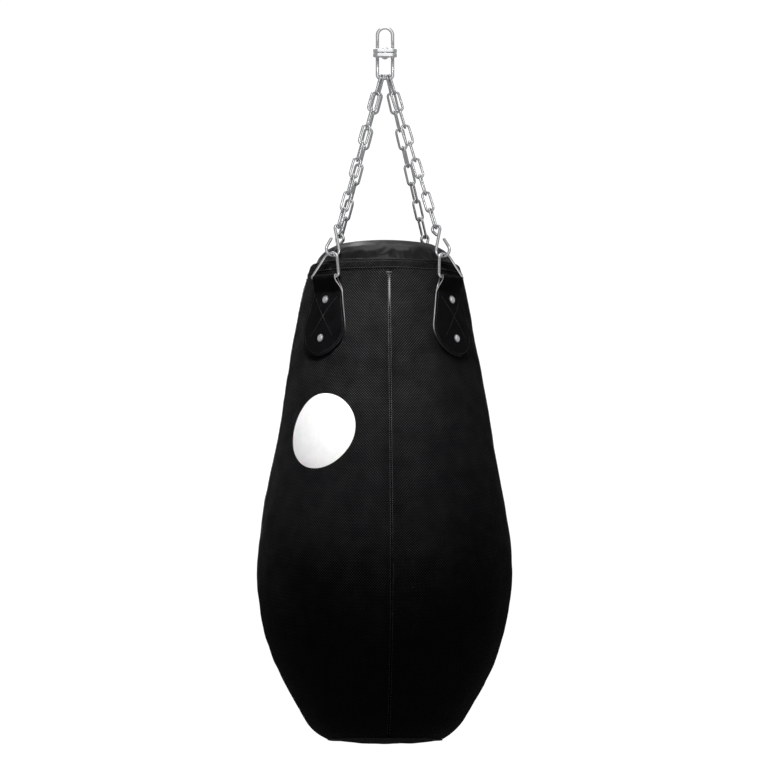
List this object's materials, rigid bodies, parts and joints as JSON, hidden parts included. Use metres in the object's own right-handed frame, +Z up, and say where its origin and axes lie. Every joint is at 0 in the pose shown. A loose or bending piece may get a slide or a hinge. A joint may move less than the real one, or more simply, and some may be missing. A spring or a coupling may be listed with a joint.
{
  "type": "heavy punching bag",
  "caption": "Pear-shaped stuffed punching bag in black, hung on chains with S-hooks, D-rings and riveted leather straps below a swivel with two wire bails.",
  "frame": {"origin": "the saddle inside the top of the upper bail, where a hook or carabiner carries the bag", "axes": "+Z up along the bag's axis, -Y to the front with the front seam, +X to the right"},
  "size_m": [0.512, 0.512, 1.4404],
  "materials": {
    "steel": "zinc plated, satin",
    "chain_steel": "zinc plated, bright",
    "hook_steel": "zinc plated, bright",
    "rivet_steel": "nickel plated, polished",
    "strap_leather": "matt split leather, pale cut edges",
    "shell_leather": "coated leather, embossed with a fine diagonal weave, soft sheen",
    "patch_white": "plain white coated leather, semi-gloss",
    "tape": "woven tape",
    "zip_plastic": "moulded",
    "liner": "woven",
    "foam": "soft foam sheet",
    "textile": "packed textile offcuts"
  },
  "bodies": {
    "hanger": {"upper_bail": "steel", "upper_swivel_plate": "steel", "swivel_rivet": "steel", "swivel_washer": "steel"},
    "lower_swivel": {"lower_swivel_plate": "steel", "lower_bail": "steel"},
    "chain_row_1": {"chain_links_row_1": "chain_steel"},
    "chain_row_2": {"chain_links_row_2": "chain_steel"},
    "chain_row_3": {"chain_links_row_3": "chain_steel"},
    "chain_row_4": {"chain_links_row_4": "chain_steel"},
    "chain_row_5": {"chain_links_row_5": "chain_steel"},
    "chain_row_6": {"chain_links_row_6": "chain_steel"},
    "chain_row_7": {"chain_links_row_7": "chain_steel"},
    "chain_row_8": {"chain_links_row_8": "chain_steel"},
    "chain_row_9": {"chain_links_row_9": "chain_steel"},
    "s_hooks": {"s_hook_front_left": "hook_steel", "s_hook_front_right": "hook_steel", "s_hook_rear_left": "hook_steel", "s_hook_rear_right": "hook_steel"},
    "ring_front_left": {"d_ring_front_left": "hook_steel"},
    "ring_front_right": {"d_ring_front_right": "hook_steel"},
    "ring_rear_left": {"d_ring_rear_left": "hook_steel"},
    "ring_rear_right": {"d_ring_rear_right": "hook_steel"},
    "bag": {"strap_front_left": "strap_leather", "strap_front_right": "strap_leather", "strap_rear_left": "strap_leather", "strap_rear_right": "strap_leather", "strap_rivets": "rivet_steel", "rivet_burrs": "rivet_steel", "panel_front_left": "shell_leather", "panel_front_right": "shell_leather", "panel_rear_left": "shell_leather", "panel_rear_right": "shell_leather", "seam_tape_front": "tape", "seam_tape_right": "tape", "seam_tape_rear": "tape", "seam_tape_left": "tape", "hem_band": "shell_leather", "rim_piping": "shell_leather", "lid_front": "shell_leather", "lid_rear": "shell_leather", "zip_tape_front": "tape", "zip_tape_rear": "tape", "zip_teeth_chain": "zip_plastic", "zip_stops": "rivet_steel", "bottom_cap": "shell_leather", "bottom_piping": "shell_leather", "inner_liner": "liner", "foam_wrap": "foam", "textile_core": "textile", "target_patch": "patch_white"},
    "slider": {"zip_slider": "rivet_steel"},
    "pull": {"zip_pull": "rivet_steel"}
  },
  "joints": [
    {"name": "swivel_spin", "type": "hinge", "parent": "hanger", "child": "lower_swivel", "pos_m": [0, 0, -0.0985], "axis": [0, 0, 1], "continuous": true},
    {"name": "chain_swing", "type": "hinge", "parent": "lower_swivel", "child": "chain_row_1", "pos_m": [0, 0, -0.0985], "axis": [1, 0, 0], "range_deg": [-25, 25]},
    {"name": "bag_hop", "type": "slide", "parent": "chain_row_1", "child": "bag", "axis": [0, 0, 1], "range_m": [0, 0.02]},
    {"name": "row_2_slack", "type": "slide", "parent": "chain_row_1", "child": "chain_row_2", "axis": [0, 0, 1], "range_m": [0, 0.002]},
    {"name": "row_3_slack", "type": "slide", "parent": "chain_row_1", "child": "chain_row_3", "axis": [0, 0, 1], "range_m": [0, 0.004]},
    {"name": "row_4_slack", "type": "slide", "parent": "chain_row_1", "child": "chain_row_4", "axis": [0, 0, 1], "range_m": [0, 0.006]},
    {"name": "row_5_slack", "type": "slide", "parent": "chain_row_1", "child": "chain_row_5", "axis": [0, 0, 1], "range_m": [0, 0.008]},
    {"name": "row_6_slack", "type": "slide", "parent": "chain_row_1", "child": "chain_row_6", "axis": [0, 0, 1], "range_m": [0, 0.01]},
    {"name": "row_7_slack", "type": "slide", "parent": "chain_row_1", "child": "chain_row_7", "axis": [0, 0, 1], "range_m": [0, 0.012]},
    {"name": "row_8_slack", "type": "slide", "parent": "chain_row_1", "child": "chain_row_8", "axis": [0, 0, 1], "range_m": [0, 0.014]},
    {"name": "row_9_slack", "type": "slide", "parent": "chain_row_1", "child": "chain_row_9", "axis": [0, 0, 1], "range_m": [0, 0.016]},
    {"name": "hook_slack", "type": "slide", "parent": "chain_row_1", "child": "s_hooks", "axis": [0, 0, 1], "range_m": [0, 0.018]},
    {"name": "ring_tilt_front_left", "type": "hinge", "parent": "bag", "child": "ring_front_left", "pos_m": [-0.12516, -0.12087, -0.5142], "axis": [0.6947, -0.7193, 0], "range_deg": [0, 3]},
    {"name": "ring_tilt_front_right", "type": "hinge", "parent": "bag", "child": "ring_front_right", "pos_m": [0.12516, -0.12087, -0.5142], "axis": [0.6947, 0.7193, 0], "range_deg": [0, 3]},
    {"name": "ring_tilt_rear_left", "type": "hinge", "parent": "bag", "child": "ring_rear_left", "pos_m": [-0.11184, 0.13329, -0.5125], "axis": [-0.766, -0.6428, 0], "range_deg": [0, 3]},
    {"name": "ring_tilt_rear_right", "type": "hinge", "parent": "bag", "child": "ring_rear_right", "pos_m": [0.11184, 0.13329, -0.5125], "axis": [-0.766, 0.6428, 0], "range_deg": [0, 3]},
    {"name": "zip_slide", "type": "hinge", "parent": "bag", "child": "slider", "pos_m": [0, 0, -0.936], "axis": [0, 1, 0], "range_deg": [0, 18.8]},
    {"name": "zip_pull_flip", "type": "hinge", "parent": "slider", "child": "pull", "pos_m": [-0.0832, 0, -0.43344], "axis": [0, -1, 0], "range_deg": [0, 165]}
  ],
  "couplings": [
    {"joint": "row_2_slack", "follows": "bag_hop", "ratio": 0.1},
    {"joint": "row_3_slack", "follows": "bag_hop", "ratio": 0.2},
    {"joint": "row_4_slack", "follows": "bag_hop", "ratio": 0.3},
    {"joint": "row_5_slack", "follows": "bag_hop", "ratio": 0.4},
    {"joint": "row_6_slack", "follows": "bag_hop", "ratio": 0.5},
    {"joint": "row_7_slack", "follows": "bag_hop", "ratio": 0.6},
    {"joint": "row_8_slack", "follows": "bag_hop", "ratio": 0.7},
    {"joint": "row_9_slack", "follows": "bag_hop", "ratio": 0.8},
    {"joint": "hook_slack", "follows": "bag_hop", "ratio": 0.9},
    {"joint": "ring_tilt_front_left", "follows": "bag_hop", "rad_per_m": 2.618},
    {"joint": "ring_tilt_front_right", "follows": "bag_hop", "rad_per_m": 2.618},
    {"joint": "ring_tilt_rear_left", "follows": "bag_hop", "rad_per_m": 2.618},
    {"joint": "ring_tilt_rear_right", "follows": "bag_hop", "rad_per_m": 2.618}
  ]
}
